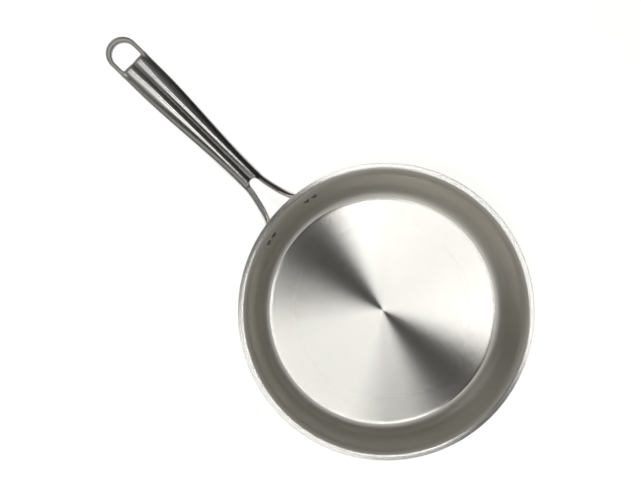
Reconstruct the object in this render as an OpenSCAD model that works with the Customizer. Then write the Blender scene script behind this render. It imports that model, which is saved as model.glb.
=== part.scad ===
/* [Pan body] */
// Diameter over the pouring lip
lip_d = 260; // [252:1:300]
// Height of the body, from the table to the top of the lip
body_h = 48; // [44:1:70]
// Diameter of the flat cooking floor
floor_d = 200; // [160:1:208]
// Inside radius of the corner between the floor and the wall
corner_r = 14.5; // [6:0.5:16]
// Radius on which the wall turns out into the lip
flare_r = 6; // [4:0.5:7.5]
// Width of the flat ledge outside that turn
lip_flat = 2.5; // [2:0.25:6]
// Radius of the two corners of the lip's cut edge
edge_round = 0.4; // [0.2:0.1:1.2]

/* [Bonded sheet] */
// Thickness of the stainless cooking surface
inner_skin_t = 0.45; // [0.3:0.05:0.8]
// Thickness of the aluminium core
core_t = 1.7; // [1:0.1:2.2]
// Thickness of the magnetic stainless outside
outer_skin_t = 0.45; // [0.3:0.05:0.8]

/* [Handle line] */
// Length of the handle, from the edge of the lip to the end of its ring
handle_l = 199; // [160:1:230]
// Slope of the handle where it leaves the pan, in degrees
slope_pan = 20; // [12:1:24]
// Slope of the handle at its ring, in degrees
slope_ring = 6; // [2:1:10]

/* [Grip] */
// Width of the grip next to the ring
grip_w = 29; // [26:0.5:34]
// Width of the grip at its narrowest, just before the fork
neck_w = 20.7; // [18:0.5:24]
// Distance from the lip to the narrowest place
neck_at = 45; // [40:1:60]
// Distance from the end of the ring to where the grip starts to narrow
shoulder_at = 44; // [40:1:70]
// Height of the two crests above the middle of the grip
crest_h = 4.6; // [4:0.1:6]
// Depth of the grip below its middle
belly_h = 3.6; // [2.5:0.1:5]
// Spacing of the two crests along the groove
crest_gap = 6.8; // [5.6:0.2:9]
// Spacing of the two crests where the groove opens at the ring
crest_gap_ring = 9.2; // [7:0.2:16]
// Length over which the groove opens, up to the eye
groove_open_l = 30; // [16:1:60]
// Depth of the groove below its crests
groove_h = 1.6; // [1:0.1:4]

/* [Hanging ring] */
// Width of the eye, across the handle
eye_w = 20.6; // [16:0.2:22]
// Length of the eye, from its straight side to its round end
eye_l = 19.5; // [15:0.5:24]
// Width of the ring's band at the end of the handle
band_w = 6; // [4.5:0.5:9]
// Thickness of the ring's band
band_h = 6.4; // [5:0.2:7]

/* [Fork] */
// Length of the gap between the prongs, from the lip to its round root
fork_l = 35; // [28:1:40]
// Width of a prong
prong_w = 6.2; // [5:0.1:6.8]
// Height of a prong
prong_h = 7; // [5:0.1:7.6]

/* [Feet] */
// Depth of the rivets below the top of the lip
foot_drop = 12; // [11:0.5:18]
// Height of a foot, up the wall
foot_h = 13; // [10:0.5:14]
// Thickness of a foot
foot_t = 3.8; // [3:0.1:5]
// Distance round the wall from the middle of the handle to the middle of a foot's rivets
foot_spread = 26; // [24:0.5:32]

/* [Rivets] */
// Diameter of a rivet's shank
rivet_d = 4; // [3:0.1:4.4]
// Distance between a foot's two rivets
rivet_pitch = 8.5; // [7.5:0.5:12]
// Diameter of the domed head inside the pan
head_d = 6.4; // [5.4:0.2:7]
// Height of the domed head inside the pan
head_h = 1.7; // [1:0.1:2.2]
// Diameter of the upset tail on the foot
tail_d = 5; // [4.6:0.1:5.6]
// Height of the upset tail on the foot
tail_h = 1.1; // [0.6:0.1:1.6]
// Clearance round a shank in its holes
rivet_fit = 0.05; // [0.02:0.01:0.15]
// Clearance round a tail in its seat
tail_fit = 0.25; // [0.1:0.05:0.4]

/* [Hidden] */
$fn = 96;

// How finely the curves are divided
corner_steps = 8;
flare_steps = 6;
edge_steps = 4;
ring_steps = 18;
grip_steps = 18;
prong_steps = 14;
foot_steps = 4;
end_steps = 5;
band_sides = 16;
flank_steps = 6;
groove_steps = 4;
belly_steps = 8;

// Body: centres of the corner's and the flare's arcs, and the slope of the wall tangent to both
sheet_t = inner_skin_t + core_t + outer_skin_t;
lip_r = lip_d / 2;
floor_r = floor_d / 2;
corner_z = sheet_t + corner_r;
flare_x = lip_r - lip_flat;
flare_z = body_h - flare_r;
arcs_apart = norm([flare_x - floor_r, flare_z - corner_z]);
wall_a = atan2(flare_x - floor_r, flare_z - corner_z) - asin((corner_r + flare_r) / arcs_apart);

// Radius of the sheet's face at a depth below the cooking surface, on the straight wall
function wall_r(z, depth) = floor_r + (corner_r + depth) / cos(wall_a) + (z - corner_z) * tan(wall_a);

function arc(x, z, r, from, to, steps) =
    [for (i = [0:steps]) let (a = from + (to - from) * i / steps) [x + r * cos(a), z + r * sin(a)]];

function flip(list) = [for (i = [len(list) - 1:-1:0]) list[i]];

// Half of the sheet's face at a depth, from the axis out to the ledge of the lip
function face_line(depth) = concat(
    [[0, sheet_t - depth]],
    arc(floor_r, corner_z, corner_r + depth, -90, -wall_a, corner_steps),
    arc(flare_x, flare_z, flare_r - depth, 180 - wall_a, 90, flare_steps));

// The lip is cut square over all the layers, and its edge has a rounded corner above and below
corner_round = min(edge_round, sheet_t / 2);
function edge_r(depth) =
    let (inward = max(0, corner_round - min(depth, sheet_t - depth)))
    lip_r - corner_round + sqrt(max(0, pow(corner_round, 2) - pow(inward, 2)));
function edge_line(from, to) = [
    for (i = [0:edge_steps])
        let (depth = from + (to - from) * i / edge_steps)
        [edge_r(depth), body_h - depth]
];

module layer(from, to) {
    rotate_extrude()
        polygon(concat(face_line(from), edge_line(from, to), flip(face_line(to))));
}

// Everything inside the outer face, which the handle is cut to fit
module body_outline() {
    rotate_extrude()
        polygon(concat(face_line(sheet_t), flip(edge_line(0, sheet_t)), [[0, body_h]]));
}

// Handle line: a circular arc in the side view, level with the rivets at the foot
foot_z = body_h - foot_drop;
foot_r = wall_r(foot_z, sheet_t) + foot_t / 2 / cos(wall_a);
turn = 180 / PI / foot_r;
rivet_a = [(foot_spread - rivet_pitch / 2) * turn, (foot_spread + rivet_pitch / 2) * turn];
foot_start = [foot_r * cos(rivet_a[0]), foot_r * sin(rivet_a[0])];
ring_end_x = lip_r + handle_l;
rise_r = (ring_end_x - foot_start[0]) / (sin(slope_pan) - sin(slope_ring));
function line_slope(x) = asin(sin(slope_pan) - max(0, x - foot_start[0]) / rise_r);
function line_z(x) = foot_z + rise_r * (cos(line_slope(x)) - cos(slope_pan));

function blend(x, from, to) = let (t = min(1, max(0, (x - from) / (to - from)))) t * t * (3 - 2 * t);
function mix(a, b, t) = a + (b - a) * t;

function middle(ring) = [for (point = ring) 1] * ring / len(ring);

// Joins rings of points, all of one length and direction, into a solid closed round a hub at each end
module skin(rings, hubs) {
    n = len(rings[0]);
    last = len(rings) - 1;
    hub = n * len(rings);
    sides = [
        for (k = [0:last - 1], i = [0:n - 1]) let (j = (i + 1) % n)
            [k * n + i, k * n + j, (k + 1) * n + j, (k + 1) * n + i]
    ];
    start = [for (i = [0:n - 1]) [hub, (i + 1) % n, i]];
    finish = [for (i = [0:n - 1]) [hub + 1, last * n + i, last * n + (i + 1) % n]];
    polyhedron(concat([for (ring = rings, point = ring) point], hubs), concat(sides, start, finish));
}

// A rounded cross-section, as across and up from its middle; the lower its power, the squarer it is
function bar(half_w, half_h, power = 1) = [
    for (i = [0:band_sides - 1])
        let (a = 360 * i / band_sides)
        [half_w * sign(cos(a)) * pow(abs(cos(a)), power), half_h * sign(sin(a)) * pow(abs(sin(a)), power)]
];

// Stands a cross-section on the handle's line, facing a way in plan, with its top leaning that way
function stand(section, at, facing, lean = 0) = [
    for (p = section)
        let (across = p[0] + p[1] * tan(lean))
        [at[0] + across * cos(facing), at[1] + across * sin(facing), line_z(at[0]) + p[1]]
];

// Ring: the band lies between two circles, and the eye's circle is set back to thicken the end
ring_r = grip_w / 2;
ring_x = ring_end_x - ring_r;
eye_r = eye_w / 2;
eye_x = ring_end_x - band_w - eye_r;
eye_side_x = ring_end_x - band_w - eye_l;
// How far the ring's band runs into the grip, its share of its own size at that hidden end, and how
// far past the eye's straight side it has all of its size
tail_l = 8;
tail_share = 0.4;
full_l = 2;
// How far a piece of the casting stands past the next one where their surfaces cross
tuck = 0.25;

module ring() {
    side_y = (ring_r + eye_r) / 2;
    side_w = (ring_r - eye_r) / 2;
    tail_bar = bar(side_w * tail_share, band_h / 2 * tail_share);
    tail = function (side) stand(tail_bar, [eye_side_x - tail_l, side * side_y], side * 90);
    root = function (side) stand(bar(side_w, band_h / 2), [eye_side_x + full_l, side * side_y], side * 90);
    round_end = [
        for (i = [0:ring_steps])
            let (
                a = -90 + 180 * i / ring_steps,
                mid = mix(ring_x, eye_x, 0.5),
                r = (ring_r + eye_r) / 2,
                half_w = (ring_r - eye_r + (ring_x - eye_x) * cos(a)) / 2)
            stand(bar(half_w, band_h / 2), [mid + r * cos(a), r * sin(a)], a)
    ];
    skin(concat([tail(-1), root(-1)], round_end, [root(1), tail(1)]), [middle(tail(-1)), middle(tail(1))]);
}

// Grip: a crowned bar with a groove between two crests
gap_r = neck_w / 2 - prong_w;
root_x = lip_r + fork_l;
grip_start_x = root_x - gap_r;
function grip_half(x) = mix(neck_w, grip_w, blend(x, lip_r + neck_at, ring_end_x - shoulder_at)) / 2;
function groove_open(x) = blend(x, eye_side_x - groove_open_l, eye_side_x);
function crest_y(x) = mix(crest_gap, crest_gap_ring, groove_open(x)) / 2;
// A flank is a quarter of an ellipse at the ring, and straighter the higher its power is
flank_power = 1.3;
function flank_shape(x) = mix(flank_power, 1, groove_open(x));

function grip_section(x) =
    let (
        w = grip_half(x),
        c = crest_y(x),
        power = flank_shape(x),
        flank = [
            for (i = [0:flank_steps])
                let (a = 90 * i / flank_steps)
                [c + (w - c) * pow(cos(a), power), crest_h * pow(sin(a), power)]
        ],
        groove = [
            for (i = [1:groove_steps - 1])
                let (u = i / groove_steps)
                [c * (1 - u), crest_h - groove_h * (1 - cos(180 * u)) / 2]
        ],
        right = concat(flank, groove),
        left = [for (p = flip(right)) [-p[0], p[1]]],
        belly = [
            for (i = [1:belly_steps - 1])
                let (a = 180 + 180 * i / belly_steps)
                [w * cos(a), belly_h * sin(a)]
        ])
    [for (p = concat(right, [[0, crest_h - groove_h]], left, belly)) [x, p[0], line_z(x) + p[1]]];

// Height of the grip's flank over its line, and of its belly under it, at a distance from the middle
function flank_up(x, y) =
    let (
        power = flank_shape(x),
        share = max(0, y - crest_y(x)) / (grip_half(x) - crest_y(x)))
    crest_h * pow(max(0, 1 - pow(share, 2 / power)), power / 2);
function belly_down(x, y) = belly_h * sqrt(max(0, 1 - pow(y / grip_half(x), 2)));

module grip() {
    web_up = (crest_h - groove_h - belly_h) / 2;
    hubs = [for (x = [eye_side_x, grip_start_x]) [x, 0, line_z(x) + web_up]];
    skin([for (i = [0:grip_steps]) grip_section(mix(eye_side_x, grip_start_x, i / grip_steps))], hubs);
}

// Prong: a smooth curve in plan from the grip round to the wall, then along it as a riveted foot
prong_y = (neck_w - prong_w) / 2;
prong_start = [grip_start_x + tuck, prong_y];
fork_pull = 5;
foot_pull = 7.5;
fork_control = prong_start - [fork_pull, 0];
foot_control = foot_start - foot_pull * [-sin(rivet_a[0]), cos(rivet_a[0])];

function bezier(t) = pow(1 - t, 3) * prong_start + 3 * pow(1 - t, 2) * t * fork_control
    + 3 * (1 - t) * t * t * foot_control + pow(t, 3) * foot_start;
function heading(t) = pow(1 - t, 2) * (fork_control - prong_start)
    + 2 * (1 - t) * t * (foot_control - fork_control) + t * t * (foot_start - foot_control);

// Where on its curve a prong stops taking after the grip, and where it starts to turn into a foot
root_blend = 0.3;
foot_blend = 0.45;
prong_power = 0.85;
foot_power = 0.6;
foot_bite = 0.4;
pad_w = foot_t / 2 + foot_bite;
// How far round its rounded end a foot is drawn
end_turn = 80;

// The outer part of the grip's own section, a little larger or smaller
function root_bar(grow) = [
    for (p = bar(prong_w / 2, 1))
        let (
            y = prong_y + p[0],
            half = sign(p[1]),
            reach = half > 0 ? flank_up(grip_start_x, y) : belly_down(grip_start_x, y))
        [p[0] * (1 + 2 * grow / prong_w), half * (reach + grow)]
];

module prong(side) {
    curve = [
        for (i = [0:prong_steps])
            let (
                t = i / prong_steps,
                h = heading(t),
                k = blend(t, foot_blend, 1),
                power = mix(prong_power, foot_power, k),
                own = bar(mix(prong_w / 2, pad_w, k), mix(prong_h, foot_h, k) / 2, power))
            stand(
                mix(root_bar(tuck), own, blend(t, 0, root_blend)),
                bezier(t), atan2(-h[0], h[1]), wall_a * k)
    ];
    level = [
        for (i = [1:foot_steps])
            let (a = mix(rivet_a[0], rivet_a[1], i / foot_steps))
            stand(bar(pad_w, foot_h / 2, foot_power), foot_r * [cos(a), sin(a)], a, wall_a)
    ];
    rounded = [
        for (i = [1:end_steps])
            let (
                s = end_turn * i / end_steps,
                a = rivet_a[1] + foot_h / 2 * sin(s) * turn,
                w = pad_w * sqrt(cos(s)),
                at = (foot_r - pad_w + w) * [cos(a), sin(a)])
            stand(bar(w, foot_h / 2 * cos(s), foot_power), at, a, wall_a)
    ];
    start = stand(root_bar(-tuck), [root_x, prong_y], 90);
    mirror([0, side < 0 ? 1 : 0, 0])
        skin(concat([start], curve, level, rounded), [middle(start), middle(rounded[end_steps - 1])]);
}

// Puts what follows at a rivet: origin on the cooking surface, Z out along the shank
module at_rivets() {
    for (side = [-1, 1], a = rivet_a)
        rotate([0, 0, side * a])
            translate([wall_r(foot_z, 0), 0, foot_z])
                rotate([0, 90 + wall_a, 0])
                    children();
}

grip_l = sheet_t + foot_t;
drill_l = 4 * grip_l;

module rivet_holes() {
    at_rivets()
        cylinder(h = drill_l, r = rivet_d / 2 + rivet_fit, center = true);
}

// Flat seats in the feet for the rivets' tails
module tail_seats() {
    at_rivets()
        translate([0, 0, grip_l])
            cylinder(h = drill_l, d = tail_d + 2 * tail_fit);
}

// The round root of the gap between the prongs
module fork_root() {
    translate([grip_start_x, 0, line_z(grip_start_x) - drill_l])
        cylinder(h = 2 * drill_l, r = gap_r);
}

// Height of the straight edge under a head's dome, which goes as far again down to the curved wall
head_rim = 0.25;

// A domed disc: a slice of a ball on a flat face at z = 0
module dome(d, h) {
    ball_r = (pow(d / 2, 2) + h * h) / (2 * h);
    rotate_extrude()
        intersection() {
            translate([0, h - ball_r])
                circle(ball_r);
            square([d / 2, h]);
        }
}

module inner_skin() {
    color("gainsboro")
        difference() {
            layer(0, inner_skin_t);
            rivet_holes();
        }
}

module aluminium_core() {
    color("lightgray")
        difference() {
            layer(inner_skin_t, inner_skin_t + core_t);
            rivet_holes();
        }
}

module outer_skin() {
    color("silver")
        difference() {
            layer(inner_skin_t + core_t, sheet_t);
            rivet_holes();
        }
}

module handle() {
    color("darkgray")
        difference() {
            union() {
                grip();
                ring();
                prong(-1);
                prong(1);
            }
            body_outline();
            rivet_holes();
            tail_seats();
            fork_root();
        }
}

module rivets() {
    color("whitesmoke") {
        difference() {
            at_rivets()
                rotate([180, 0, 0]) {
                    translate([0, 0, head_rim])
                        dome(head_d, head_h - head_rim);
                    translate([0, 0, -head_rim])
                        cylinder(h = 2 * head_rim, d = head_d);
                }
            layer(0, sheet_t);
        }
        at_rivets()
            translate([0, 0, -head_rim])
                cylinder(h = grip_l + 2 * head_rim, d = rivet_d);
        at_rivets()
            translate([0, 0, grip_l])
                dome(tail_d, tail_h);
    }
}

inner_skin();
aluminium_core();
outer_skin();
handle();
rivets();
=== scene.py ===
"""An omelette pan of bonded stainless sheet with a forked cast handle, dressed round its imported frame.

Sizes in the classes are millimetres, as in the part's source, and meshes are in metres. The handle runs
along +X and the pan stands on Z = 0.
"""

import logging
import math
from dataclasses import dataclass
from enum import Enum
from functools import cached_property
from typing import Any

import bpy
import numpy as np
from mathutils import Matrix


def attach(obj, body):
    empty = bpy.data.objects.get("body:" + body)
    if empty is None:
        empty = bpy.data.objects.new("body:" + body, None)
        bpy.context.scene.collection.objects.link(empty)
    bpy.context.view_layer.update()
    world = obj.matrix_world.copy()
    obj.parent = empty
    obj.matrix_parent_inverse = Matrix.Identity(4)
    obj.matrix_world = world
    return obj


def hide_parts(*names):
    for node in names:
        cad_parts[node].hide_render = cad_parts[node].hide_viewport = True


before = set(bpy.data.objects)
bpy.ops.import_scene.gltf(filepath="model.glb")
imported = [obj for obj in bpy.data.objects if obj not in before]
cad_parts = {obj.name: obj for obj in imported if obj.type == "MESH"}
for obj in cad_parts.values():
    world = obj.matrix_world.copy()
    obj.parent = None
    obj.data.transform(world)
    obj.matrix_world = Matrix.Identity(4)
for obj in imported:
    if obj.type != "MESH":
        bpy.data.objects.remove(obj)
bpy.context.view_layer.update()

log = logging.getLogger("omelette_pan")
MM = 0.001
# Lengths in millimetres that count as none and as far away
TINY, FAR = 1e-6, 50.0
Array = np.ndarray
Piece = bpy.types.Object
Material = bpy.types.Material
Tree = bpy.types.NodeTree


class Node(str, Enum):
    """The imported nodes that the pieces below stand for."""

    INNER_SKIN = "inner_skin"
    CORE = "aluminium_core"
    OUTER_SKIN = "outer_skin"
    HANDLE = "handle"
    RIVETS = "rivets"


class Slot(str, Enum):
    """The record's material slots."""

    COOKING_SURFACE = "cooking_surface"
    CORE = "core"
    OUTSIDE = "outside"
    CAST_HANDLE = "cast_handle"
    RIVET_STEEL = "rivet_steel"


class Side(Enum):
    """The side of the handle's line that a light is on, as the sign of its Y."""

    LEFT = 1
    RIGHT = -1


# Meshes from whole arrays


@dataclass(frozen=True)
class Surface:
    """A surface in millimetres, of faces with four and three corners."""

    points: Array
    quads: Array
    triangles: Array
    zones: Array | None = None
    normals: Array | None = None

    def piece(self, name: str, finishes: list[Material], sharp_deg: float = 40.0) -> Piece:
        """Puts the surface into a new object at the origin.

        Args:
            name: the piece's name.
            finishes: its materials, in the order of the zones' numbers.
            sharp_deg: faces that meet at more than this many degrees keep a crisp edge.

        Returns:
            The object, linked to the scene.
        """
        mesh = bpy.data.meshes.new(name)
        mesh.from_pydata((self.points * MM).tolist(), [], self.quads.tolist() + self.triangles.tolist())
        if self.zones is not None:
            mesh.polygons.foreach_set("material_index", self.zones)
        mesh.shade_smooth()
        if self.normals is None:
            mesh.set_sharp_from_angle(angle=math.radians(sharp_deg))
        else:
            mesh.normals_split_custom_set_from_vertices(self.normals.tolist())
        for finish in finishes:
            mesh.materials.append(finish)
        made = bpy.data.objects.new(name, mesh)
        bpy.context.scene.collection.objects.link(made)
        return made


def settle(piece: Piece, node: Node) -> Piece:
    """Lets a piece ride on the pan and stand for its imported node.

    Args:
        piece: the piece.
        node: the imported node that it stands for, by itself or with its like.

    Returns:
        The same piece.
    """
    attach(piece, "root")
    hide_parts(node.value)
    return piece


def revolved(profile: Array, steps: int, zone_rows: Array | None = None) -> Surface:
    """Carries half a profile round Z.

    Row j at turn i is (r_j cos a_i, r_j sin a_i, z_j), with a_i = 2 pi i / steps. The profile starts and
    ends on the axis, where each end is one vertex.

    Args:
        profile: (n, 2) radii and heights, over the top, round the edge and back under it.
        steps: how many parts the turn is cut into.
        zone_rows: a zone number for each of the profile's n - 1 stretches.

    Returns:
        The closed surface.
    """
    radius, height = profile[1:-1].T
    turn = 2 * math.pi * np.arange(steps) / steps
    high = np.repeat(height[:, None], steps, 1)
    rings = np.stack([np.outer(radius, np.cos(turn)), np.outer(radius, np.sin(turn)), high], axis=-1)
    points = np.vstack([[0, 0, profile[0, 1]], rings.reshape(-1, 3), [0, 0, profile[-1, 1]]])
    index = 1 + np.arange(rings.shape[0] * steps).reshape(-1, steps)
    after = np.roll(index, -1, axis=1)
    quads = np.stack([index[:-1], index[1:], after[1:], after[:-1]], axis=-1).reshape(-1, 4)
    first = np.stack([np.zeros(steps, int), index[0], after[0]], axis=-1)
    last = np.stack([np.full(steps, len(points) - 1), after[-1], index[-1]], axis=-1)
    zones = None
    if zone_rows is not None:
        zones = np.concatenate([np.repeat(zone_rows[1:-1], steps), np.repeat(zone_rows[[0, -1]], steps)])
    return Surface(points, quads, np.vstack([first, last]), zones)


def arc(centre: tuple[float, float], radius: float, start: float, end: float, steps: int) -> Array:
    """Points of a circular arc, with its angles in radians."""
    a = np.linspace(start, end, steps + 1)
    return np.stack([centre[0] + radius * np.cos(a), centre[1] + radius * np.sin(a)], axis=-1)


def round_plan(radius: Any, turns: Array) -> Array:
    """Points (r cos a, r sin a) about the pan's axis, in plan."""
    return np.stack([radius * np.cos(turns), radius * np.sin(turns)], axis=-1)


def dome(radius: float, height: float, steps: int = 16) -> Array:
    """Half of a ball's slice, with (r^2 + h^2) / (2 h) as the ball's radius.

    Args:
        radius: the slice's own radius, at its rim.
        height: its height, from rim to top.
        steps: how many stretches the profile has.

    Returns:
        Radii and heights, from the rim to the top.
    """
    ball = (radius**2 + height**2) / (2 * height)
    a = np.linspace(math.asin(min(1.0, radius / ball)), 0, steps + 1)
    return np.stack([ball * np.sin(a), height - ball + ball * np.cos(a)], axis=-1)


def smoothstep(x: Array, start: float, end: float) -> Array:
    """3 t^2 - 2 t^3, where t goes from 0 at start to 1 at end."""
    t = np.clip((x - start) / (end - start), 0, 1)
    return t * t * (3 - 2 * t)


def mix(a: Any, b: Any, share: Any) -> Any:
    """a, plus a share of the way to b."""
    return a + (b - a) * share


def soft_max(a: Array, b: Array, fillet: float) -> Array:
    """The larger of two distances, with the edge between them rounded by a quadratic of that size."""
    h = np.maximum(fillet - np.abs(a - b), 0) / fillet
    return np.maximum(a, b) + h * h * fillet / 4


def soft_min(a: Array, b: Array, fillet: float) -> Array:
    """The smaller of two distances, with the corner between them filled the same way."""
    return -soft_max(-a, -b, fillet)


def bar_distance(across: Array, up: Array, half_w: Any, half_h: Any, power: Any) -> Array:
    """Distance to the superellipse |across / half_w|^n + |up / half_h|^n = 1, to first order.

    It is (R - 1) over the slope of R, with R the n-th root of the left side.

    Args:
        across: places across the bar.
        up: places up the bar.
        half_w: half of the bar's width.
        half_h: half of its height.
        power: n, which is 2 for an ellipse and more for a squarer bar.

    Returns:
        The distances, negative inside.
    """
    least = 1e-3
    a, b = np.abs(across) / half_w, np.abs(up) / half_h
    root = np.maximum((a**power + b**power) ** (1 / power), least)
    slope = np.hypot((a / root) ** (power - 1) / half_w, (b / root) ** (power - 1) / half_h)
    return (root - 1) / np.maximum(slope, least)


def rows(start: float, *stretches: tuple[float, float]) -> Array:
    """Sample positions along one axis.

    Args:
        start: the first position.
        *stretches: where each stretch ends, and the widest step allowed in it.

    Returns:
        The positions, evenly spaced within each stretch.
    """
    made = [np.array([start])]
    for end, step in stretches:
        made.append(np.linspace(made[-1][-1], end, math.ceil((end - made[-1][-1]) / step) + 1)[1:])
    return np.concatenate(made)


def net_of(values: Array, axes: list[Array]) -> tuple[Array, Array]:
    """Quads of the surface where values change sign, by the surface-nets rule.

    Each cell with mixed corners gets one point, the mean of the zero crossings on its twelve edges. Each
    grid edge whose ends differ gets one quad, between the four cells round it.

    Args:
        values: (nx, ny, nz) distances, negative inside.
        axes: the grid's positions along each axis.

    Returns:
        Points as (n, 3) and quads as (m, 4), turned outwards.
    """
    inside = values < 0
    shape = tuple(n - 1 for n in values.shape)
    steps = np.array([[i, j, k] for i in (0, 1) for j in (0, 1) for k in (0, 1)])

    def corner(field: Array, step: Array) -> Array:
        """The field at one corner of every cell."""
        return field[tuple(slice(s, s + n) for s, n in zip(step, shape))]

    count = sum(corner(inside, s).astype(np.int8) for s in steps)
    cells = np.nonzero((count > 0) & (count < 8))
    number = np.full(shape, -1)
    number[cells] = np.arange(len(cells[0]))
    at_corner = np.stack([corner(values, s)[cells] for s in steps], axis=-1)
    total, hits = np.zeros((len(cells[0]), 3)), np.zeros(len(cells[0]))
    for a, low in enumerate(steps):
        for axis in range(3):
            if low[axis]:
                continue
            # The corner one step along the axis, as the corners are counted in twos
            b = a + (4, 2, 1)[axis]
            va, vb = at_corner[:, a], at_corner[:, b]
            crossed = (va < 0) != (vb < 0)
            share = np.where(crossed, va / np.where(crossed, va - vb, 1), 0)
            spot = low + share[:, None] * np.eye(3)[axis]
            total += spot * crossed[:, None]
            hits += crossed
    local = total / hits[:, None] + np.stack(cells, axis=-1)
    spots = [np.interp(spot, np.arange(len(stops)), stops) for spot, stops in zip(local.T, axes)]

    quads = []
    for axis in range(3):
        u, v = (axis + 1) % 3, (axis + 2) % 3
        enters, leaves = np.delete(inside, -1, axis), np.delete(inside, 0, axis)
        edges = np.stack(np.nonzero(enters != leaves), axis=-1)
        flip = enters[tuple(edges.T)]
        around = []
        for du, dv in ((1, 1), (0, 1), (0, 0), (1, 0)):
            cell = edges.copy()
            cell[:, u] -= du
            cell[:, v] -= dv
            around.append(number[tuple(cell.T)])
        face = np.stack(around, axis=-1)
        quads.append(np.where(flip[:, None], face, face[:, ::-1]))
    return np.stack(spots, axis=-1), np.vstack(quads)


# Finishes


def linear(code: str) -> tuple[float, float, float, float]:
    """The linear colour of an sRGB hex code, opaque.

    Args:
        code: six hex digits after a hash, such as #C9C7C2.

    Returns:
        Red, green, blue and alpha, each from 0 to 1.
    """
    parts = [int(code[i : i + 2], 16) / 255 for i in (1, 3, 5)]
    red, green, blue = (c / 12.92 if c <= 0.04045 else ((c + 0.055) / 1.055) ** 2.4 for c in parts)
    return red, green, blue, 1.0


def add_node(tree: Tree, kind: str, inputs: dict | None = None, **settings: Any) -> bpy.types.Node:
    """Adds a node with its settings, and sets or links its inputs.

    Args:
        tree: the node tree.
        kind: the node's Blender name.
        inputs: a value or an output socket for each input, by name or number.
        **settings: the node's own properties.

    Returns:
        The node.
    """
    node = tree.nodes.new(kind)
    for name, value in settings.items():
        setattr(node, name, value)
    for name, value in (inputs or {}).items():
        if isinstance(value, bpy.types.NodeSocket):
            tree.links.new(value, node.inputs[name])
        else:
            node.inputs[name].default_value = value
    return node


def vector_math(tree: Tree, operation: str, inputs: dict) -> Any:
    """The vector that a vector math node makes of its inputs."""
    return add_node(tree, "ShaderNodeVectorMath", inputs, operation=operation).outputs[0]


def number_math(tree: Tree, operation: str, first: Any, second: Any) -> Any:
    """The number that a math node makes of two numbers."""
    return add_node(tree, "ShaderNodeMath", {0: first, 1: second}, operation=operation).outputs[0]


def noise(tree: Tree, place: Any, scale: float, detail: float) -> Any:
    """The value of a noise texture at a place."""
    inputs = {"Vector": place, "Scale": scale, "Detail": detail}
    return add_node(tree, "ShaderNodeTexNoise", inputs).outputs["Fac"]


def new_material(name: str) -> tuple[Material, Tree]:
    """Makes an empty node material.

    Args:
        name: the material's name.

    Returns:
        The material and its node tree.
    """
    made = bpy.data.materials.new(name)
    made.use_nodes = True
    made.node_tree.nodes.clear()
    return made, made.node_tree


@dataclass(frozen=True, kw_only=True)
class Metal:
    """What the metals share: their colour and roughness vary with a noise."""

    name: str
    colour: str
    dark: str
    roughness: float
    spread: float = 0.03

    def rough(self, tree: Tree, grain: Any) -> Any:
        """The roughness, spread over the middle of a noise.

        Args:
            tree: the node tree.
            grain: the noise.

        Returns:
            The socket that gives the roughness.
        """
        least, most = self.roughness - self.spread, self.roughness + self.spread
        ends = {"Value": grain, "From Min": 0.3, "From Max": 0.7, "To Min": least, "To Max": most}
        return add_node(tree, "ShaderNodeMapRange", ends).outputs[0]

    def shade(self, tree: Tree, grain: Any, lift: Any, lift_mm: float, more: dict) -> None:
        """Adds the shader and the output.

        Args:
            tree: the node tree.
            grain: the noise that mixes the two colours.
            lift: the noise that lifts the surface.
            lift_mm: how far it does.
            more: the shader's other inputs.
        """
        colours = {"Factor": grain, 6: linear(self.dark), 7: linear(self.colour)}
        tint = add_node(tree, "ShaderNodeMix", colours, data_type="RGBA").outputs[2]
        lifted = {"Height": lift, "Strength": 1.0, "Distance": lift_mm * MM}
        bump = add_node(tree, "ShaderNodeBump", lifted).outputs[0]
        inputs = {"Base Color": tint, "Metallic": 1.0, "Normal": bump, **more}
        metal = add_node(tree, "ShaderNodeBsdfPrincipled", inputs)
        add_node(tree, "ShaderNodeOutputMaterial", {"Surface": metal.outputs[0]})


@dataclass(frozen=True, kw_only=True)
class TurnedSteel(Metal):
    """18/10 stainless steel brushed in circles on a turning table, which gives fans of light."""

    anisotropic: float
    line_mm: float = 1.1
    line_length: float = 9.0
    relief: float = 0.004
    wander: float = 0.10

    def material(self) -> Material:
        """Builds the node tree.

        The brush lines are noise over (direction, radius), so each is an arc about Z. They tint the
        colour, spread the roughness, lift the surface and turn the tangent, which points away from Z.

        Returns:
            The material.
        """
        made, tree = new_material(self.name)
        place = add_node(tree, "ShaderNodeTexCoord").outputs["Object"]
        flat = vector_math(tree, "MULTIPLY", {0: place, 1: (1, 1, 0)})
        away = vector_math(tree, "NORMALIZE", {0: flat})
        radius = add_node(tree, "ShaderNodeVectorMath", {0: flat}, operation="LENGTH").outputs["Value"]
        height = add_node(tree, "ShaderNodeSeparateXYZ", {0: place}).outputs["Z"]
        run = number_math(tree, "ADD", radius, height)
        line = number_math(tree, "MULTIPLY", run, 1 / (self.line_mm * MM))
        upright = add_node(tree, "ShaderNodeCombineXYZ", {"Z": line}).outputs[0]
        spread = vector_math(tree, "SCALE", {0: away, "Scale": self.line_length})
        lines = noise(tree, vector_math(tree, "ADD", {0: spread, 1: upright}), 1.0, 3.0)
        around = vector_math(tree, "CROSS_PRODUCT", {0: (0, 0, 1), 1: away})
        sway = number_math(tree, "MULTIPLY", number_math(tree, "SUBTRACT", lines, 0.5), self.wander)
        turned = vector_math(tree, "SCALE", {0: around, "Scale": sway})
        tangent = vector_math(tree, "ADD", {0: away, 1: turned})
        more = {"Roughness": self.rough(tree, lines), "Anisotropic": self.anisotropic, "Tangent": tangent}
        self.shade(tree, lines, lines, self.relief, more)
        return made


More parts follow.
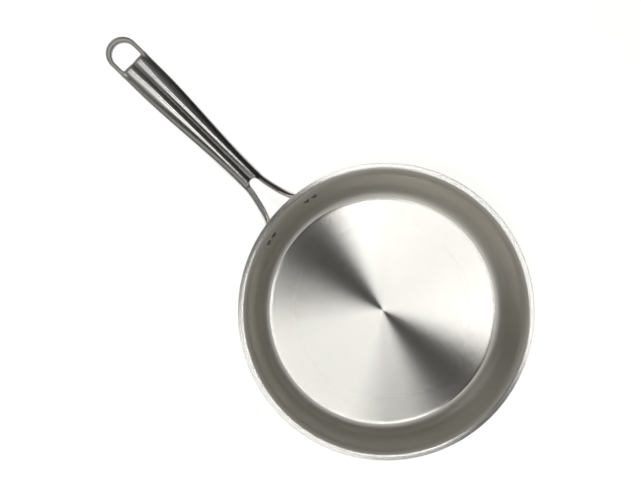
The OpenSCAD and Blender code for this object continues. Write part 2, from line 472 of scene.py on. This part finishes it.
@dataclass(frozen=True)
class SatinStretch:
    """Where along X a polish is left and where it has gone, and the roughness that it fades to."""

    leaves_x: float
    gone_x: float
    roughness: float


@dataclass(frozen=True, kw_only=True)
class PolishedMetal(Metal):
    """Metal smoothed on a wheel, with clear reflections, fine hazy scratches and slight waves."""

    scratch_mm: float
    wave_mm: float
    wave_relief: float
    satin: tuple[SatinStretch, ...] = ()

    def material(self) -> Material:
        """Builds the node tree: scratches along X spread the roughness, and waves lift the surface.

        Returns:
            The material.
        """
        made, tree = new_material(self.name)
        place = add_node(tree, "ShaderNodeTexCoord").outputs["Object"]
        drawn_out = tuple(s / (self.scratch_mm * MM) for s in (0.08, 1, 1))
        drawn = add_node(tree, "ShaderNodeMapping", {"Vector": place, "Scale": drawn_out}).outputs[0]
        scratches = noise(tree, drawn, 1.0, 4.0)
        waves = noise(tree, place, 1 / (self.wave_mm * MM), 1.0)
        polish = self.rough(tree, scratches)
        for satin in self.satin:
            along = add_node(tree, "ShaderNodeSeparateXYZ", {0: place}).outputs["X"]
            ends = {"Value": along, "From Min": satin.leaves_x * MM, "From Max": satin.gone_x * MM}
            fade = add_node(tree, "ShaderNodeMapRange", ends, interpolation_type="SMOOTHSTEP").outputs[0]
            both = {"Factor": fade, 2: polish, 3: satin.roughness}
            polish = add_node(tree, "ShaderNodeMix", both).outputs[0]
        self.shade(tree, scratches, waves, self.wave_relief, {"Roughness": polish})
        return made


@dataclass(frozen=True)
class StudioPaper:
    """Matt white background paper, whose grain doesn't show from here."""

    name: str = "white_background_paper"
    colour: str = "#F4F4F2"
    glow: float = 0.85
    roughness: float = 0.9

    def material(self) -> Material:
        """Builds the node tree.

        Returns:
            The material.
        """
        made, tree = new_material(self.name)
        white = linear(self.colour)
        glow = {"Emission Color": white, "Emission Strength": self.glow}
        inputs = {"Base Color": white, "Roughness": self.roughness, **glow}
        paper = add_node(tree, "ShaderNodeBsdfPrincipled", inputs)
        add_node(tree, "ShaderNodeOutputMaterial", {"Surface": paper.outputs[0]})
        return made


TURNED_FLOOR = TurnedSteel(
    name="turned_stainless_floor", colour="#EAE8E2", dark="#DEDCD6", roughness=0.24,
    spread=0.015, anisotropic=1.0, line_mm=0.9, line_length=6.0, relief=0.0015, wander=0.02,
)
SATIN_WALL = TurnedSteel(
    name="satin_stainless_wall", colour="#F0ECE2", dark="#E3DFD5", roughness=0.46, anisotropic=0.4,
)
SATIN_FLARE = TurnedSteel(
    name="satin_stainless_flare", colour="#F6F3EA", dark="#EAE6DC", roughness=0.74, anisotropic=0.3,
    line_mm=0.9, line_length=8.0, relief=0.003,
)
SATIN_OUTSIDE = TurnedSteel(
    name="satin_stainless_outside", colour="#C4C1BA", dark="#ABA8A1", roughness=0.3,
    anisotropic=0.6,
)
TURNED_LIP = TurnedSteel(
    name="turned_stainless_lip", colour="#EFEDE7", dark="#E3E1DB", roughness=0.28,
    spread=0.02, anisotropic=0.95, line_mm=0.6, line_length=6.0, relief=0.002, wander=0.06,
)
BARE_ALUMINIUM = PolishedMetal(
    name="cut_aluminium_edge", colour="#E8E8E6", dark="#D8D8D7", roughness=0.55,
    scratch_mm=0.6, wave_mm=8.0, wave_relief=0.01,
)
POLISHED_CASTING = PolishedMetal(
    name="polished_cast_stainless", colour="#CFCDC9", dark="#C1BFBA", roughness=0.21,
    spread=0.02, scratch_mm=0.7, wave_mm=14.0, wave_relief=0.006,
    satin=(SatinStretch(166, 156, 0.27), SatinStretch(236, 285, 0.30), SatinStretch(299, 302, 0.52)),
)
RIVET_STEEL = PolishedMetal(
    name="tumbled_stainless_rivet", colour="#CFCCC6", dark="#BEBBB4", roughness=0.24,
    scratch_mm=0.5, wave_mm=3.0, wave_relief=0.01,
)


# The pan's body


@dataclass(frozen=True)
class PanBody:
    """The bonded sheet: a flat floor, a rounded corner, a straight leaning wall and a rolled-out lip."""

    lip_d: float = 260.0
    body_h: float = 48.0
    floor_d: float = 200.0
    corner_r: float = 14.5
    flare_r: float = 6.0
    lip_flat: float = 2.5
    edge_round: float = 0.4
    inner_skin_t: float = 0.45
    core_t: float = 1.7
    outer_skin_t: float = 0.45
    # How far the floor's finish runs up the corner, the wall's stops short of the flare, and the lip's
    # runs in from the ledge
    floor_finish_up: float = 3.5
    wall_finish_short: float = 1.2
    lip_finish_in: float = 2.0
    # How finely each stretch of the profile, and the turn, is divided
    floor_steps: int = 5
    corner_steps: int = 24
    wall_steps: int = 9
    flare_steps: int = 18
    edge_steps: int = 8
    turn_steps: int = 360

    @cached_property
    def sheet_t(self) -> float:
        """Thickness of the three layers together."""
        return self.inner_skin_t + self.core_t + self.outer_skin_t

    @cached_property
    def corner_z(self) -> float:
        """Height of the corner's centre."""
        return self.sheet_t + self.corner_r

    @cached_property
    def flare_x(self) -> float:
        """Radius at which the lip's flat ledge starts."""
        return self.lip_d / 2 - self.lip_flat

    @cached_property
    def wall_lean(self) -> float:
        """Lean of the wall that is tangent to both arcs, in radians."""
        run, rise = self.flare_x - self.floor_d / 2, self.body_h - self.flare_r - self.corner_z
        return math.atan2(run, rise) - math.asin((self.corner_r + self.flare_r) / math.hypot(run, rise))

    def wall_r(self, z: Any, depth: float) -> Any:
        """Radius of the sheet's face at a depth under the cooking surface, on the straight wall."""
        start = self.floor_d / 2 + (self.corner_r + depth) / math.cos(self.wall_lean)
        return start + (z - self.corner_z) * math.tan(self.wall_lean)

    def face_line(self, depth: float) -> Array:
        """Half of the sheet's face: the floor, the corner's arc, the straight wall and the flare's arc.

        Args:
            depth: depth of the face under the cooking surface.

        Returns:
            Radii and heights, from the axis to the ledge.
        """
        floor_r, flare_z = self.floor_d / 2, self.body_h - self.flare_r
        out = np.linspace(0, floor_r, self.floor_steps + 1)[:-1]
        floor = np.stack([out, np.full(len(out), self.sheet_t - depth)], axis=-1)
        lean, corner_r, flare_r = self.wall_lean, self.corner_r + depth, self.flare_r - depth
        corner = arc((floor_r, self.corner_z), corner_r, -math.pi / 2, -lean, self.corner_steps)
        flare = arc((self.flare_x, flare_z), flare_r, math.pi - lean, math.pi / 2, self.flare_steps)
        wall = mix(corner[-1], flare[0], np.linspace(0, 1, self.wall_steps + 1)[1:-1, None])
        return np.vstack([floor, corner, wall, flare])

    def edge_line(self, start: float, end: float) -> Array:
        """The part of the lip's cut edge between two depths.

        The edge is upright, with a quarter circle above and below. The upper one's point at angle a is at
        the depth r (1 - cos a), and stands out by sqrt(r^2 - (r - depth)^2).

        Args:
            start: the upper depth.
            end: the lower depth.

        Returns:
            Radii and heights, from the upper depth down.
        """
        corner = self.edge_round * (1 - np.cos(np.linspace(0, math.pi / 2, self.edge_steps + 1)))
        levels = np.concatenate([corner, (self.sheet_t - corner)[::-1]])
        inside = levels[(levels > start + TINY) & (levels < end - TINY)]
        depth = np.concatenate([[start], inside, [end]])
        inward = np.maximum(0, self.edge_round - np.minimum(depth, self.sheet_t - depth))
        reach = np.sqrt(np.maximum(0, self.edge_round**2 - inward**2))
        return np.stack([self.lip_d / 2 - self.edge_round + reach, self.body_h - depth], axis=-1)

    def layer(self, start: float, end: float, bounds_r: tuple[float, ...] = ()) -> Surface:
        """One layer of the sheet between two depths.

        Args:
            start: depth of its upper face.
            end: depth of its lower face.
            bounds_r: radii at which its faces change zone, from the middle out.

        Returns:
            The closed layer, with zones numbered from the middle out.
        """
        edge = self.edge_line(start, end)
        profile = np.vstack([self.face_line(start), edge, self.face_line(end)[::-1]])
        middles = (profile[1:, 0] + profile[:-1, 0]) / 2
        return revolved(profile, self.turn_steps, np.searchsorted(np.array(bounds_r), middles))

    def build(self) -> list[Piece]:
        """Builds and dresses the three layers.

        Returns:
            The pieces, from the cooking surface down.
        """
        core_at, outer_at = self.inner_skin_t, self.inner_skin_t + self.core_t
        floor_end, lip_start = self.floor_d / 2 + self.floor_finish_up, self.flare_x - self.lip_finish_in
        wall_end = self.flare_x - self.flare_r * math.cos(self.wall_lean) - self.wall_finish_short
        lip = TURNED_LIP.material()
        inside = [TURNED_FLOOR.material(), SATIN_WALL.material(), SATIN_FLARE.material(), lip]
        outside = [SATIN_OUTSIDE.material(), lip]
        inner = self.layer(0, core_at, (floor_end, wall_end, lip_start)).piece("cooking_surface", inside)
        core = self.layer(core_at, outer_at).piece("aluminium_core_sheet", [BARE_ALUMINIUM.material()])
        outer = self.layer(outer_at, self.sheet_t, (lip_start,)).piece("outer_base_and_wall", outside)
        return [
            settle(inner, Node.INNER_SKIN),
            settle(core, Node.CORE),
            settle(outer, Node.OUTER_SKIN),
        ]


# The rivets and the handle


@dataclass(frozen=True)
class Rivet:
    """A domed head inside, a shank through sheet and foot, and an upset tail on the foot's seat."""

    shank_d: float = 4.0
    head_d: float = 6.4
    head_h: float = 1.7
    head_rim: float = 0.25
    tail_d: float = 5.0
    tail_h: float = 1.1
    tail_fit: float = 0.25
    turn_steps: int = 48
    sharp_deg: float = 30.0

    def surface(self, grip_l: float) -> Surface:
        """The rivet about Z, with its tail up and the cooking surface at zero.

        Args:
            grip_l: thickness of the sheet and the foot together.

        Returns:
            The closed surface.
        """
        head_r, shank_r = self.head_d / 2, self.shank_d / 2
        tail = dome(self.tail_d / 2, self.tail_h) + [0, grip_l]
        head = dome(head_r, self.head_h - self.head_rim) * [1, -1] - [0, self.head_rim]
        neck = np.array([[shank_r, grip_l], [shank_r, self.head_rim], [head_r, self.head_rim]])
        return revolved(np.vstack([tail[::-1], neck, head]), self.turn_steps)


@dataclass(frozen=True)
class ProngPath:
    """A prong's middle line in plan, and rows of half widths and heights, leans, powers and ridges."""

    points: Array
    sections: Array


@dataclass(frozen=True)
class CastHandle:
    """One polished casting: a hanging ring, a grooved grip, two prongs and two riveted feet.

    The places that its methods take are rows of x, |y| and z, since it is the same on both sides.
    """

    body: PanBody = PanBody()
    rivet: Rivet = Rivet()
    handle_l: float = 199.0
    slope_pan: float = 20.0
    slope_ring: float = 6.0
    # The grip, its crests and groove, and the roundings of its edges and ends
    grip_w: float = 29.0
    neck_w: float = 20.7
    neck_at: float = 45.0
    shoulder_at: float = 44.0
    crest_h: float = 4.6
    belly_h: float = 3.6
    flank_power: float = 1.3
    flank_power_ring: float = 1.2
    crest_gap: float = 6.8
    crest_gap_ring: float = 9.2
    groove_open_l: float = 30.0
    groove_h: float = 1.6
    groove_bottom_r: float = 0.01
    crest_round: float = 1.0
    eye_end_round: float = 3.4
    fork_end_round: float = 3.0
    # The ring's band, with a tail that runs thin into the grip
    eye_w: float = 20.6
    eye_l: float = 19.5
    band_w: float = 6.0
    band_h: float = 6.4
    band_power: float = 2.4
    band_tail_l: float = 8.0
    band_tail_share: float = 0.4
    band_full_in: float = 2.0
    band_tail_round: float = 0.5
    # The fork, whose prongs start inside the grip and have their ridge nearer the gap
    fork_l: float = 35.0
    prong_w: float = 6.2
    prong_h: float = 7.0
    prong_ridge: float = 1.5
    prong_lap: float = 0.25
    prong_tail_l: float = 6.0
    tail_sink: float = 0.5
    fork_pull: float = 5.0
    foot_pull: float = 7.5
    tail_power: float = 2.2
    prong_power: float = 2.3
    # Shares of the curve after which a prong turns into a pad, and its ridge fades
    pad_from: float = 0.45
    ridge_from: float = 0.5
    # How finely a prong's curve, its arc past the rivets and its round end are divided
    curve_steps: int = 40
    level_steps: int = 6
    bow_steps: int = 14
    # The feet, which reach a little into the wall and are cut to it
    foot_drop: float = 12.0
    foot_h: float = 13.0
    foot_t: float = 3.8
    foot_spread: float = 26.0
    foot_power: float = 3.2
    foot_bite: float = 0.4
    foot_end_deg: float = 82.0
    rivet_pitch: float = 8.5
    # Fillets and edge roundings where the parts meet
    ring_fillet: float = 2.2
    root_fillet: float = 0.8
    gap_round: float = 0.8
    wall_round: float = 0.2
    seat_round: float = 0.3
    # The net over the casting: its step, its reach below and above the handle's line, and how far the
    # prongs and the seats matter, past the grip's start and past the feet
    step: float = 0.36
    net_down: float = 8.6
    net_up: float = 7.4
    prong_reach: float = 14.0
    seat_reach: float = 12.0
    newton_rounds: int = 4

    @cached_property
    def foot_z(self) -> float:
        """Height of the rivets, and of the handle's line at the feet."""
        return self.body.body_h - self.foot_drop

    @cached_property
    def foot_r(self) -> float:
        """Radius of the middle of a foot, about the pan's axis."""
        body = self.body
        return body.wall_r(self.foot_z, body.sheet_t) + self.foot_t / 2 / math.cos(body.wall_lean)

    @cached_property
    def rivet_turns(self) -> Array:
        """Angles of a foot's two rivets, from the handle's middle, in radians."""
        return (self.foot_spread + self.rivet_pitch * np.array([-0.5, 0.5])) / self.foot_r

    @cached_property
    def foot_start(self) -> Array:
        """Where the prong's curve becomes the foot's arc, in plan."""
        a = self.rivet_turns[0]
        return self.foot_r * np.array([math.cos(a), math.sin(a)])

    @cached_property
    def ring_end_x(self) -> float:
        """The far end of the ring."""
        return self.body.lip_d / 2 + self.handle_l

    @cached_property
    def rise_r(self) -> float:
        """Radius of the circular arc that the handle's line follows in the side view."""
        drop = math.sin(math.radians(self.slope_pan)) - math.sin(math.radians(self.slope_ring))
        return (self.ring_end_x - self.foot_start[0]) / drop

    @cached_property
    def gap_r(self) -> float:
        """Radius of the round root of the gap."""
        return self.neck_w / 2 - self.prong_w

    @cached_property
    def grip_start_x(self) -> float:
        """Where the grip ends and the prongs part, at the middle of the gap's round root."""
        return self.body.lip_d / 2 + self.fork_l - self.gap_r

    @cached_property
    def eye_side_x(self) -> float:
        """The straight side of the eye, which is the end of the grip."""
        return self.ring_end_x - self.band_w - self.eye_l

    def line_slope(self, x: Array) -> Array:
        """Slope of the handle's line: its sine falls evenly with x."""
        fall = np.maximum(0, x - self.foot_start[0]) / self.rise_r
        return np.arcsin(np.clip(math.sin(math.radians(self.slope_pan)) - fall, -1, 1))

    def line_z(self, x: Array) -> Array:
        """Height of the handle's line, on its circular arc."""
        lift = np.cos(self.line_slope(x)) - math.cos(math.radians(self.slope_pan))
        return self.foot_z + self.rise_r * lift

    def grip_distance(self, at: Array) -> Array:
        """Distance to the grip.

        The top is flat between the crests and falls in a superellipse on each flank. A V-shaped groove
        is taken out of it, and the belly is half an ellipse.

        Args:
            at: (3, n) places.

        Returns:
            (n,) distances, negative inside.
        """
        x, y, z = at
        lip_r, eye_x = self.body.lip_d / 2, self.eye_side_x
        widen = smoothstep(x, lip_r + self.neck_at, self.ring_end_x - self.shoulder_at)
        half = mix(self.neck_w, self.grip_w, widen) / 2
        opening = smoothstep(x, eye_x - self.groove_open_l, eye_x)
        crest = mix(self.crest_gap, self.crest_gap_ring, opening) / 2
        level = np.cos(self.line_slope(x))
        up = (z - self.line_z(x)) * level
        power = 2 / mix(self.flank_power, self.flank_power_ring, opening)
        top = bar_distance(np.maximum(y - crest, 0), up, half - crest, self.crest_h, power)
        belly = bar_distance(y, up, half, self.belly_h, 2.0)
        shell = np.where(up > 0, top, belly)
        bottom_r = self.groove_bottom_r
        rise = self.groove_h / (np.hypot(crest, bottom_r) - bottom_r)
        groove = up - (self.crest_h - self.groove_h) - rise * (np.hypot(y, bottom_r) - bottom_r)
        slope = rise * y / np.hypot(y, bottom_r)
        shell = soft_max(shell, groove / np.sqrt(1 + slope**2), self.crest_round)
        shell = soft_max(shell, (x - eye_x) * level, self.eye_end_round)
        return soft_max(shell, self.grip_start_x - x, self.fork_end_round)

    def ring_distance(self, at: Array) -> Array:
        """Distance to the ring: a bar along two straight sides and a half circle, thicker at the far end.

        Args:
            at: (3, n) places.

        Returns:
            (n,) distances, negative inside.
        """
        x, y, z = at
        ring_r, eye_r = self.grip_w / 2, self.eye_w / 2
        ring_x, eye_x = self.ring_end_x - ring_r, self.ring_end_x - self.band_w - eye_r
        ahead = np.maximum(x - (ring_x + eye_x) / 2, 0)
        reach = np.hypot(ahead, y)
        across = reach - (ring_r + eye_r) / 2
        cosine = ahead / np.maximum(reach, TINY)
        tail_x, full_x = self.eye_side_x - self.band_tail_l, self.eye_side_x + self.band_full_in
        share = mix(self.band_tail_share, 1.0, np.clip((x - tail_x) / (full_x - tail_x), 0, 1))
        half_w = (ring_r - eye_r + (ring_x - eye_x) * cosine) / 2 * share
        up = (z - self.line_z(x)) * np.cos(self.line_slope(x))
        band = bar_distance(across, up, half_w, self.band_h / 2 * share, self.band_power)
        return soft_max(band, tail_x - x, self.band_tail_round)

    @cached_property
    def prong_path(self) -> ProngPath:
        """A prong's path and sections.

        A cubic Bezier from the grip to the foot's start is followed by an arc along the wall. The section
        turns from a bar into an upright pad, and past the last rivet its height falls as a circle's does.

        Returns:
            The path, from inside the grip to the foot's end.
        """
        bar_w, pad_w = self.prong_w / 2, self.foot_t / 2 + self.foot_bite
        bar_h, pad_h = self.prong_h / 2, self.foot_h / 2
        start = np.array([self.grip_start_x + self.prong_lap, (self.neck_w - self.prong_w) / 2])
        tail = start + [[self.prong_tail_l, 0]]
        first, last = self.rivet_turns
        leave = start - [self.fork_pull, 0]
        arrive = self.foot_start - self.foot_pull * np.array([-math.sin(first), math.cos(first)])
        t = np.linspace(0, 1, self.curve_steps + 1)[:, None]
        curve = (1 - t) ** 3 * start + 3 * (1 - t) ** 2 * t * leave
        curve = curve + 3 * (1 - t) * t * t * arrive + t**3 * self.foot_start
        form = smoothstep(t[:, 0], self.pad_from, 1)
        ridge = 1 - smoothstep(t[:, 0], self.ridge_from, 1)
        level = round_plan(self.foot_r, np.linspace(first, last, self.level_steps + 1)[1:])
        bow = np.linspace(0, math.radians(self.foot_end_deg), self.bow_steps + 1)[1:]
        thin = np.sqrt(np.cos(bow))
        rounded = round_plan(self.foot_r - pad_w + pad_w * thin, last + pad_h * np.sin(bow) / self.foot_r)
        ones, pad = np.ones(len(level)), np.ones(len(level) + len(bow))
        sections = [
            [[bar_w - self.tail_sink], mix(bar_w, pad_w, form), pad_w * ones, pad_w * thin],
            [[bar_h - self.tail_sink], mix(bar_h, pad_h, form), pad_h * ones, pad_h * np.cos(bow)],
            [[0], form * self.body.wall_lean, pad * self.body.wall_lean],
            [[self.tail_power], mix(self.prong_power, self.foot_power, form), self.foot_power * pad],
            [[self.prong_ridge], self.prong_ridge * ridge, 0 * pad],
        ]
        points = np.vstack([tail, curve, level, rounded])
        return ProngPath(points, np.stack([np.concatenate(row) for row in sections]))

    def prong_distance(self, at: Array) -> Array:
        """Distance to a prong and its foot, from the nearest place on its path in plan.

        A prong's top has its ridge nearer the gap, and falls from it to the outside as the grip's flank
        does.

        Args:
            at: (3, n) places.

        Returns:
            (n,) distances, negative inside.
        """
        x, y, z = at
        path = self.prong_path
        nearest = np.full(x.shape, np.inf)
        station, across = np.zeros(x.shape), np.zeros(x.shape)
        for k, (a, b) in enumerate(zip(path.points[:-1], path.points[1:])):
            length = np.linalg.norm(b - a)
            along = (b - a) / length
            share = np.clip(((x - a[0]) * along[0] + (y - a[1]) * along[1]) / length, 0, 1)
            dx, dy = x - mix(a[0], b[0], share), y - mix(a[1], b[1], share)
            gap = dx * dx + dy * dy
            side = dx * along[1] - dy * along[0]
            nearer = gap < nearest
            nearest = np.where(nearer, gap, nearest)
            station = np.where(nearer, k + share, station)
            across = np.where(nearer, np.sign(side) * np.sqrt(gap), across)
        stops = np.arange(len(path.points))
        half_w, half_h, lean, power, ridge, at_x = (
            np.interp(station, stops, row) for row in (*path.sections, path.points[:, 0])
        )
        up = z - self.line_z(at_x)
        across = across - up * np.tan(lean)
        share = ridge / self.prong_ridge
        off, outer, inner = across + ridge, mix(power, 2 / self.flank_power, share), mix(power, 2.0, share)
        flank = bar_distance(off, up, half_w + ridge, half_h, outer)
        cheek = bar_distance(off, up, half_w - ridge, half_h, inner)
        top = np.where(across > -ridge, flank, cheek)
        return np.where(up > 0, top, bar_distance(across, up, half_w, half_h, power))

    def seat_distance(self, at: Array) -> Array:
        """Distance to the round seats that are cut into a foot for its rivets' tails.

        Args:
            at: (3, n) places.

        Returns:
            (n,) distances, negative inside.
        """
        x, y, z = at
        lean, start = self.body.wall_lean, self.body.wall_r(self.foot_z, 0)
        seat_r, seat_at = self.rivet.tail_d / 2 + self.rivet.tail_fit, self.body.sheet_t + self.foot_t
        nearest = np.full(x.shape, np.inf)
        for turn in self.rivet_turns:
            cosine, sine = math.cos(turn), math.sin(turn)
            out = (math.cos(lean) * cosine, math.cos(lean) * sine, -math.sin(lean))
            dx, dy, dz = x - start * cosine, y - start * sine, z - self.foot_z
            height = dx * out[0] + dy * out[1] + dz * out[2]
            off = np.sqrt(np.maximum(dx * dx + dy * dy + dz * dz - height * height, 0))
            nearest = np.minimum(nearest, np.maximum(off - seat_r, seat_at - height))
        return nearest

    def distance(self, points: Array) -> Array:
        """Distance to the whole casting, filleted where its parts meet and cut to the wall.

        Args:
            points: (n, 3) places in millimetres.

        Returns:
            (n,) distances, negative inside.
        """
        x, y, z = at = np.stack([points[:, 0], np.abs(points[:, 1]), points[:, 2]])
        prong = np.full(x.shape, FAR)
        near = x < self.grip_start_x + self.prong_reach
        prong[near] = self.prong_distance(at[:, near])
        made = soft_min(self.grip_distance(at), prong, self.root_fillet)
        made = soft_min(made, self.ring_distance(at), self.ring_fillet)
        made = soft_max(made, self.gap_r - np.hypot(x - self.grip_start_x, y), self.gap_round)
        wall = self.body.wall_r(z, self.body.sheet_t) - np.hypot(x, y)
        made = soft_max(made, wall * math.cos(self.body.wall_lean), self.wall_round)
        seats = np.full(x.shape, -FAR)
        near = x < self.foot_start[0] + self.seat_reach
        seats[near] = -self.seat_distance(at[:, near])
        return soft_max(made, seats, self.seat_round)

    def slope_of(self, points: Array, reach: float = 0.02) -> Array:
        """Gradient of the distance, by central differences."""
        ends = [self.distance(points + s) - self.distance(points - s) for s in np.eye(3) * reach]
        return np.stack(ends, axis=-1) / (2 * reach)

    def grid(self) -> list[Array]:
        """The net's positions: along the handle, across it, and up from its line.

        They are close over the groove's bottom and the crests, and wide along the plain grip. Each stretch
        ends a little past the form that it is for. Those across are mirrored about the middle, and none is
        on it.

        Returns:
            The three rows of positions.
        """
        step, fine, coarse = self.step, self.step / 2, self.step * 2
        groove_end, crest, grip_end = 0.6, self.crest_gap / 2, self.grip_w / 2 + 1
        foot_end = self.foot_r * math.sin(self.rivet_turns[1] + (self.foot_h / 2 + 3) / self.foot_r) + 2
        root_end, ring_end = self.grip_start_x + self.gap_r + 6, self.ring_end_x + 2
        across = rows(
            fine / 16, (fine / 4, fine / 6), (groove_end, fine), (crest - 1, step), (crest + 1.5, fine),
            (grip_end, step), (foot_end, step * 1.4),
        )
        along = rows(
            self.foot_r * 0.9, (root_end, step * 1.3), (self.eye_side_x - self.band_tail_l, coarse),
            (ring_end, step * 1.3),
        )
        return [along, np.concatenate([-across[::-1], across]), rows(-self.net_down, (self.net_up, step))]

    def surface(self) -> Surface:
        """The casting's skin: a net over its zero distance, drawn onto it exactly by Newton's rule.

        Each point moves by -d g / |g|^2, with d its distance and g the gradient, and the gradient is its
        normal.

        Returns:
            The closed surface, with its normals.
        """
        axes, least_slope = self.grid(), 0.05
        samples = np.stack(np.meshgrid(*axes, indexing="ij"), axis=-1).reshape(-1, 3)
        samples[:, 2] += self.line_z(samples[:, 0])
        values = self.distance(samples).reshape([len(a) for a in axes])
        points, quads = net_of(values, axes)
        points[:, 2] += self.line_z(points[:, 0])
        for _ in range(self.newton_rounds):
            slope = self.slope_of(points)
            size = np.maximum((slope**2).sum(1), least_slope)
            step = -self.distance(points)[:, None] * slope / size[:, None]
            points = points + np.clip(step, -self.step / 2, self.step / 2)
        normals = self.slope_of(points)
        normals /= np.linalg.norm(normals, axis=1)[:, None]
        return Surface(points, quads, np.zeros((0, 3), int), normals=normals)

    def build(self) -> list[Piece]:
        """Builds and dresses the casting.

        Returns:
            The one piece.
        """
        casting = self.surface().piece("forked_cast_handle", [POLISHED_CASTING.material()])
        return [settle(casting, Node.HANDLE)]


@dataclass(frozen=True)
class RivetSet:
    """The four rivets, two to a foot."""

    handle: CastHandle

    def build(self) -> list[Piece]:
        """Sets each rivet square to the wall, through its own hole.

        Returns:
            The pieces, from the handle's right to its left.
        """
        handle, body, rivet = self.handle, self.handle.body, self.handle.rivet
        finish, plain = RIVET_STEEL.material(), rivet.surface(body.sheet_t + handle.foot_t)
        turns = np.concatenate([-handle.rivet_turns[::-1], handle.rivet_turns])
        made = []
        for number, turn in enumerate(turns, start=1):
            place = (
                Matrix.Rotation(turn, 4, "Z")
                @ Matrix.Translation((body.wall_r(handle.foot_z, 0), 0, handle.foot_z))
                @ Matrix.Rotation(math.pi / 2 + body.wall_lean, 4, "Y")
            )
            spin = np.array(place)
            points = plain.points @ spin[:3, :3].T + spin[:3, 3]
            surface = Surface(points, plain.quads, plain.triangles)
            piece = surface.piece(f"rivet_{number}", [finish], rivet.sharp_deg)
            made.append(settle(piece, Node.RIVETS))
        return made


# The studio


@dataclass(frozen=True)
class Softbox:
    """A flat soft light over the table, in metres, with its near and far edges along the handle."""

    name: str
    side: Side
    near: float
    far: float
    start_x: float
    end_x: float
    radiance: float
    height: float = 1.3

    def add(self) -> None:
        """Lays the light flat at its height, facing down."""
        size_x, size_y = self.end_x - self.start_x, self.far - self.near
        middle_x, middle_y = (self.start_x + self.end_x) / 2, self.side.value * (self.near + self.far) / 2
        data = bpy.data.lights.new(self.name, "AREA")
        data.shape = "RECTANGLE"
        data.size, data.size_y = size_x, size_y
        data.energy = self.radiance * math.pi * size_x * size_y
        lamp = bpy.data.objects.new(self.name, data)
        lamp.location = (middle_x, middle_y, self.height)
        bpy.context.scene.collection.objects.link(lamp)


LIGHTS = (
    Softbox("softbox_right", Side.RIGHT, near=0.158, far=0.305, start_x=-0.44, end_x=0.35, radiance=6.3),
    Softbox("softbox_left", Side.LEFT, near=0.260, far=0.590, start_x=-0.42, end_x=0.37, radiance=2.65),
    Softbox("fill_right_near", Side.RIGHT, near=0.36, far=0.75, start_x=-0.60, end_x=0.35, radiance=0.15),
    Softbox("fill_right_far", Side.RIGHT, near=0.75, far=1.55, start_x=-0.60, end_x=0.35, radiance=0.06),
    Softbox("fill_left_end", Side.LEFT, near=0.26, far=1.45, start_x=-1.40, end_x=-0.60, radiance=0.70),
    Softbox("card_at_ring", Side.LEFT, -0.16, 0.16, start_x=0.48, end_x=0.80, radiance=1.1, height=0.25),
    Softbox("fill_left", Side.LEFT, near=1.45, far=4.2, start_x=-1.5, end_x=1.2, radiance=0.40),
)


@dataclass(frozen=True)
class Studio:
    """The camera, the paper and the lights of the photograph, in metres and pixels."""

    image_w: int = 641
    image_h: int = 500
    focal_px: float = 1142.9
    rim_centre_px: tuple[float, float] = (386.7, 311.0)
    # Where the point straight under the camera falls
    nadir_px: tuple[float, float] = (297.0, 295.0)
    # Way the handle points in the picture, anticlockwise from its right
    handle_deg: float = 136.0
    above_rim: float = 1.0
    rim_z: float = 0.048
    sensor_mm: float = 36.0
    paper_drop: float = 0.0002
    paper_size: float = 12.0
    surround: str = "#6E6E6C"
    surround_strength: float = 0.10
    lights: tuple[Softbox, ...] = LIGHTS

    def ray_of(self, pixel: tuple[float, float]) -> Array:
        """The camera's own direction to a pixel of the photograph."""
        return np.array([pixel[0] - self.image_w / 2, self.image_h / 2 - pixel[1], -self.focal_px])

    def add_camera(self) -> None:
        """Puts the camera where the photograph's vanishing point and rim say that it was."""
        down = self.ray_of(self.nadir_px)
        up_z = -down / np.linalg.norm(down)
        way = math.radians(self.handle_deg)
        along_x = np.array([math.cos(way), math.sin(way), 0.0])
        along_x[2] = -(along_x[:2] @ up_z[:2]) / up_z[2]
        along_x /= np.linalg.norm(along_x)
        turn = np.stack([along_x, np.cross(up_z, along_x), up_z])
        ray = turn @ self.ray_of(self.rim_centre_px)
        place = np.array([0, 0, self.rim_z]) - ray * (self.above_rim / -ray[2])
        data = bpy.data.cameras.new("camera")
        data.sensor_width = self.sensor_mm
        data.lens = data.sensor_width * self.focal_px / self.image_w
        camera = bpy.data.objects.new("camera", data)
        camera.matrix_world = Matrix.Translation(place.tolist()) @ Matrix(turn.tolist()).to_4x4()
        bpy.context.scene.collection.objects.link(camera)
        bpy.context.scene.camera = camera

    def add_paper(self) -> None:
        """Lays the paper just under the pan."""
        half, low = self.paper_size / 2 / MM, -self.paper_drop / MM
        corners = np.array([(-half, -half, low), (half, -half, low), (half, half, low), (-half, half, low)])
        paper = Surface(corners, np.array([[0, 1, 2, 3]]), np.zeros((0, 3), int))
        paper.piece("background_paper", [StudioPaper().material()])

    def add_surround(self) -> None:
        """Gives the dim room round the lights."""
        world = bpy.data.worlds.new("studio_room")
        world.use_nodes = True
        room = world.node_tree.nodes["Background"]
        room.inputs["Color"].default_value = linear(self.surround)
        room.inputs["Strength"].default_value = self.surround_strength
        bpy.context.scene.world = world
        bpy.context.scene.view_settings.view_transform = "Standard"

    def build(self) -> None:
        """Adds the camera, the paper, the room and the lights."""
        self.add_camera()
        self.add_paper()
        self.add_surround()
        for light in self.lights:
            light.add()


def main() -> None:
    """Builds the studio and then the pan, from the sheet out to the rivets."""
    logging.basicConfig(level=logging.INFO, format="%(name)s: %(message)s")
    Studio().build()
    body = PanBody()
    handle = CastHandle(body)
    for part in (body, handle, RivetSet(handle)):
        for piece in part.build():
            log.info("%s: %d faces", piece.name, len(piece.data.polygons))


if __name__ == "__main__":
    main()
